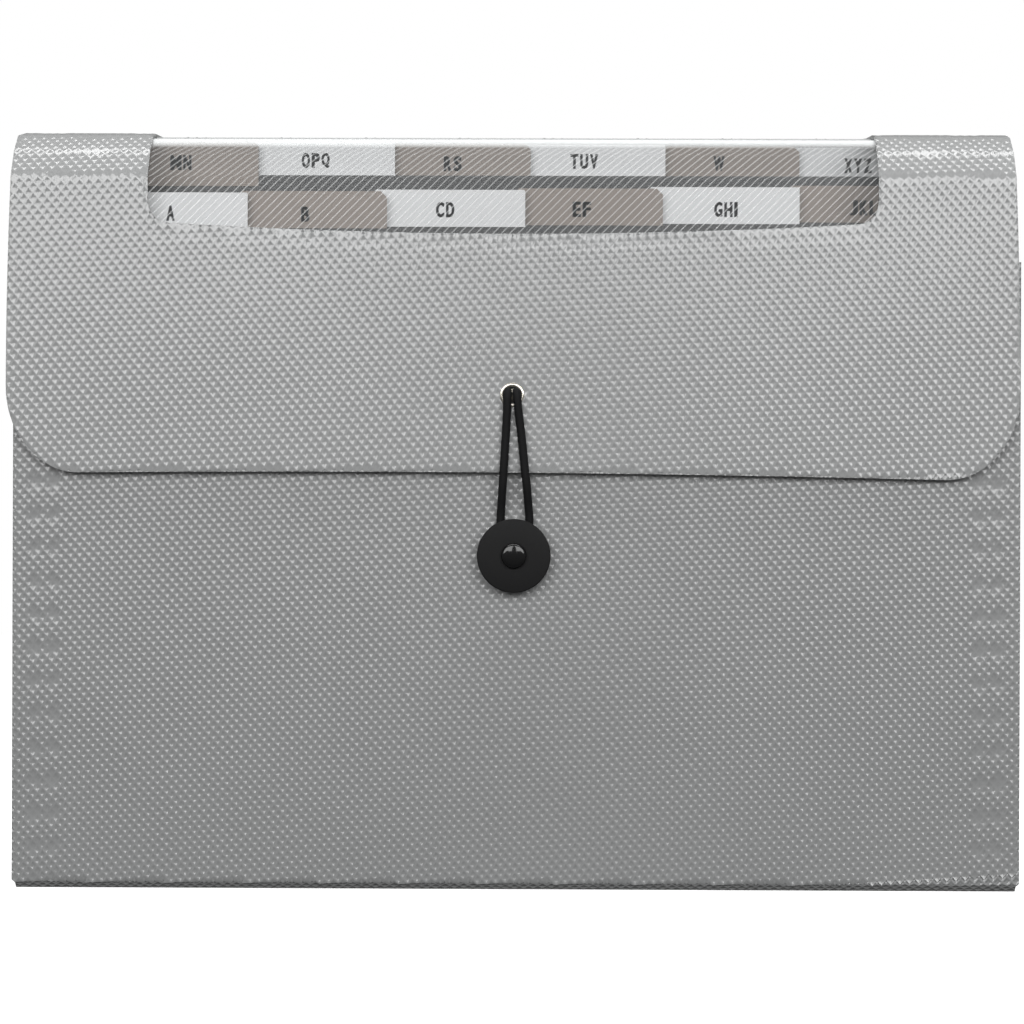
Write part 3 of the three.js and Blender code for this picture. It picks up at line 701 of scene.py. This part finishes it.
dress("flap", polypropylene(
    "rolled_polypropylene_flap", painted_lighter_flap_grey, flap_gloss, flap_shine, flap_height,
    flap_depth * bump_share))

crease_half_width = 0.0003
hinge_flat, hinge_clear = 0.003, 0.005
window_half = 0.1185
sill_middle, sill_rise = 0.2134, 0.0032
flap_middle = (flap_low.x + flap_high.x) / 2
film_weld_offset, film_weld_half = 0.0028, 0.0009
film_weld_wobble = 0.0005
film_weld_flattening = 0.6


def outside_creases(tree, place):
    """1 on the open flap, and little on its creases and on the film's row of welds."""
    axes = add(tree, "ShaderNodeSeparateXYZ", {0: place})
    along = up_the_flap(tree, place)
    flat = fade(tree, math_of(tree, "SUBTRACT", flap_high.y, axes.outputs[1]), hinge_flat, hinge_clear)
    distance = arch[0].y
    for start, end in zip(arch, arch[1:] + [arch_end]):
        off = math_of(tree, "ABSOLUTE", math_of(tree, "SUBTRACT", along, distance))
        flat = math_of(tree, "MAXIMUM", flat, fade(tree, off, crease_half_width / 2, crease_half_width))
        distance += (end - start).length
    sideways = math_of(tree, "ABSOLUTE", math_of(tree, "SUBTRACT", axes.outputs[0], flap_middle))
    bowed = math_of(tree, "POWER", math_of(tree, "DIVIDE", sideways, window_half), 2.0)
    sill = math_of(tree, "MULTIPLY_ADD", bowed, sill_rise, sill_middle)
    below = math_of(tree, "MAXIMUM", math_of(tree, "SUBTRACT", sill, along), 0.0)
    under_window = fade(tree, sideways, window_half - 0.004, window_half)
    wobble = add(tree, "ShaderNodeTexNoise", {"Vector": place, "Scale": 500.0, "Detail": 1.0})
    ragged = add(tree, "ShaderNodeMapRange", {
        0: wobble.outputs[0], 1: 0.3, 2: 0.7, 3: -film_weld_wobble, 4: film_weld_wobble})
    weld_line = math_of(tree, "SUBTRACT", below, film_weld_offset)
    off_weld = math_of(tree, "ABSOLUTE", math_of(tree, "ADD", weld_line, ragged.outputs[0]))
    row = math_of(tree, "MULTIPLY", fade(tree, off_weld, film_weld_half * 0.5, film_weld_half), under_window)
    weld = math_of(tree, "MULTIPLY", row, film_weld_flattening)
    return math_of(tree, "SUBTRACT", 1.0, math_of(tree, "MAXIMUM", flat, weld))


run_out = 0.006
below_edge = Vector((flap_low.y, flap_low.z - run_out))
beyond_hinge = arch_end + (arch_end - arch[-1]).normalized() * run_out
flap_spine = rounded([below_edge, *arch, beyond_hinge], crease_radius, 4)
flap_emboss = embossed_skin(
    "flap_emboss", "flap", [tuple(point) for point in flap_spine], flap_cell, flap_rise, flap_depth,
    outside_creases, polypropylene("embossed_polypropylene_flap", painted_lighter_flap_grey, flap_gloss, flap_shine))
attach(flap_emboss, "flap")

# Window film: 0.3 mm clear film printed with fine white diagonal lines, welded inside the
# flap round the cut-out. It shows the tabs through a faint gloss. Where it curves away over
# the top it is painted white and nearly opaque, a painted glare for the light it reflects
# there. It casts no shadow, so that the tabs are lit as through glass.
line_pitch = 0.00192
line_half_width = 0.00016
line_strength = 0.2
# Painted glare: from this height up the film turns white and nearly opaque, in place of the light it reflects
# over the top
painted_glare_from, painted_glare_to = 0.2424, 0.2454
clear_share, painted_glare_share = 0.03, 0.75
window_film, tree, surface = new_material("clear_film_with_white_lines")
place = add(tree, "ShaderNodeTexCoord").outputs["Object"]
axes = add(tree, "ShaderNodeSeparateXYZ", {0: place})
across_lines = math_of(tree, "MULTIPLY", math_of(
    tree, "SUBTRACT", axes.outputs[0], up_the_flap(tree, place)), math.sqrt(0.5))
line_place = math_of(tree, "FLOORED_MODULO", across_lines, line_pitch)
off_line = math_of(tree, "ABSOLUTE", math_of(tree, "SUBTRACT", line_place, line_pitch / 2))
on_line = fade(tree, off_line, line_half_width * 0.7, line_half_width * 1.5)
line = math_of(tree, "MULTIPLY", on_line, line_strength)
# Painted glare, whiter and more opaque towards the top of the arch
painted_glare = add(tree, "ShaderNodeMapRange", {
    0: axes.outputs[2], 1: painted_glare_from, 2: painted_glare_to, 3: clear_share, 4: painted_glare_share})
cover_share = math_of(tree, "MAXIMUM", painted_glare.outputs[0], line)
finish = add(tree, "ShaderNodeBsdfPrincipled", {
    "Base Color": linear("#e6e8e8"), "Roughness": 0.12, "IOR": 1.49, "Alpha": cover_share})
tree.links.new(finish.outputs[0], surface)
dress("window_film", window_film)
nodes["window_film"].visible_shadow = False

# Eyelet, clamp and washer: deep drawn and pressed brass with bright nickel plating, warm
# silver with a fine drawn grain.
nickel, tree, surface = new_material("bright_nickel_plate")
place = add(tree, "ShaderNodeTexCoord").outputs["Object"]
drawn = add(tree, "ShaderNodeTexNoise", {"Vector": place, "Scale": 1200.0, "Detail": 2.0})
rough = add(tree, "ShaderNodeMapRange", {0: drawn.outputs[0], 1: 0.3, 2: 0.7, 3: 0.14, 4: 0.26})
finish = add(tree, "ShaderNodeBsdfPrincipled", {
    "Base Color": linear("#d8d3c8"), "Metallic": 1.0, "Roughness": rough.outputs[0]})
tree.links.new(finish.outputs[0], surface)
for name, body in (("eyelet", "flap"), ("elastic_clamp", "flap"), ("rivet_washer", "body")):
    stands_for(merged_copy(name), name, nickel, body)

# Elastic loop: round black elastic, a rubber core braided over with polyester yarn. Both
# ends pass through the eyelet into the clamp, and the loop hooks behind the button.
elastic_radius = 0.00135
carriers, braid_pitch = 8, 0.0042
elastic_route = [
    (-2.72, -20.9, 162.3), (-2.72, -22.6, 162.3), (-2.77, -23.8, 161.6), (-2.85, -24.4, 159.6),
    (-2.95, -24.4, 156), (-3.2, -24.15, 150), (-3.7, -24.1, 141), (-4, -24.1, 136), (-4.3, -23.6, 131),
    (-4.7, -21.5, 125), (-4.9, -20.65, 121), (-5.4, -20.55, 114), (-5.55, -20.55, 109),
    (-4.1, -20.55, 105.5), (-0.6, -20.55, 104.05), (2.9, -20.55, 105.5), (4.35, -20.55, 109),
    (4.3, -20.55, 114), (4.4, -20.65, 121), (4.1, -21.5, 125), (3.6, -23.6, 131), (3, -24.1, 136),
    (2.5, -24.1, 141), (1.5, -24.15, 150), (0.75, -24.4, 156), (0.4, -24.4, 159.6), (0.2, -23.8, 161.6),
    (0.12, -22.6, 162.3), (0.12, -20.9, 162.3)]
points = [Vector(point) / 1000 for point in elastic_route]
ends = [points[0] * 2 - points[1], *points, points[-1] * 2 - points[-2]]
steps_between = 12
route = []
for before, start, end, after in zip(ends, ends[1:], ends[2:], ends[3:]):
    for step in range(steps_between):
        t = step / steps_between
        route.append(0.5 * (
            2 * start + (end - before) * t + (2 * before - 5 * start + 4 * end - after) * t * t
            + (3 * start - 3 * end + after - before) * t ** 3))
route.append(points[-1])
along = [0.0]
for one, other in zip(route, route[1:]):
    along.append(along[-1] + (other - one).length)

sides = 20
tube = bmesh.new()
braid_map = tube.loops.layers.uv.new("braid")
rings = []
across = Vector((1, 0, 0))
angles = [2 * math.pi * s / sides for s in range(sides)]
for k, centre in enumerate(route):
    ahead = (route[min(k + 1, len(route) - 1)] - route[max(k - 1, 0)]).normalized()
    across = (across - ahead * across.dot(ahead)).normalized()
    up = ahead.cross(across)
    rings.append([tube.verts.new(
        centre + elastic_radius * (across * math.cos(angle) + up * math.sin(angle))) for angle in angles])
for k, (one, other) in enumerate(zip(rings, rings[1:])):
    for s in range(sides):
        after = (s + 1) % sides
        face = tube.faces.new((one[s], one[after], other[after], other[s]))
        spots = ((s, k), (s + 1, k), (s + 1, k + 1), (s, k + 1))
        for loop, (side, ring) in zip(face.loops, spots):
            loop[braid_map].uv = (side / sides, along[ring] / braid_pitch)
for ring in (rings[0], rings[-1]):
    tube.faces.new(ring)
bmesh.ops.recalc_face_normals(tube, faces=tube.faces)

# Matt black yarns that cross each other, their colour painted lighter along each crest as a painted highlight
# and darker between the yarns as painted shade
yarn_depth = 0.00006
braid, tree, surface = new_material("braided_polyester_elastic")
unrolled = add(tree, "ShaderNodeSeparateXYZ", {0: add(tree, "ShaderNodeUVMap", uv_map="braid").outputs[0]})
turns = math_of(tree, "MULTIPLY", unrolled.outputs[0], carriers)
runs = math_of(tree, "MULTIPLY", unrolled.outputs[1], carriers)
yarns = []
for direction in (1.0, -1.0):
    yarn = math_of(tree, "PINGPONG", math_of(tree, "MULTIPLY_ADD", runs, direction, turns), 0.5)
    yarns.append(math_of(tree, "MULTIPLY", yarn, 2.0))
strands = math_of(tree, "SMOOTH_MAX", yarns[0], yarns[1], 0.3)
# Painted highlight on the yarn crests and painted shade between them
shine = add(tree, "ShaderNodeMapRange", {0: strands, 1: 0.2, 2: 1.0, 3: 0.7, 4: 1.2})
bump = add(tree, "ShaderNodeBump", {"Height": strands, "Distance": yarn_depth, "Strength": 1.0})
finish = add(tree, "ShaderNodeBsdfPrincipled", {
    "Base Color": tinted(tree, "#0e0e0f", shine.outputs[0]), "Roughness": 0.75, "Specular IOR Level": 0.2,
    "Normal": bump.outputs[0]})
tree.links.new(finish.outputs[0], surface)
elastic = bpy.data.objects.new("braided_elastic", bpy.data.meshes.new("braided_elastic"))
tube.to_mesh(elastic.data)
tube.free()
elastic.data.shade_smooth()
elastic.data.materials.append(braid)
scene.collection.objects.link(elastic)
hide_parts("elastic_loop")
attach(elastic, "flap")
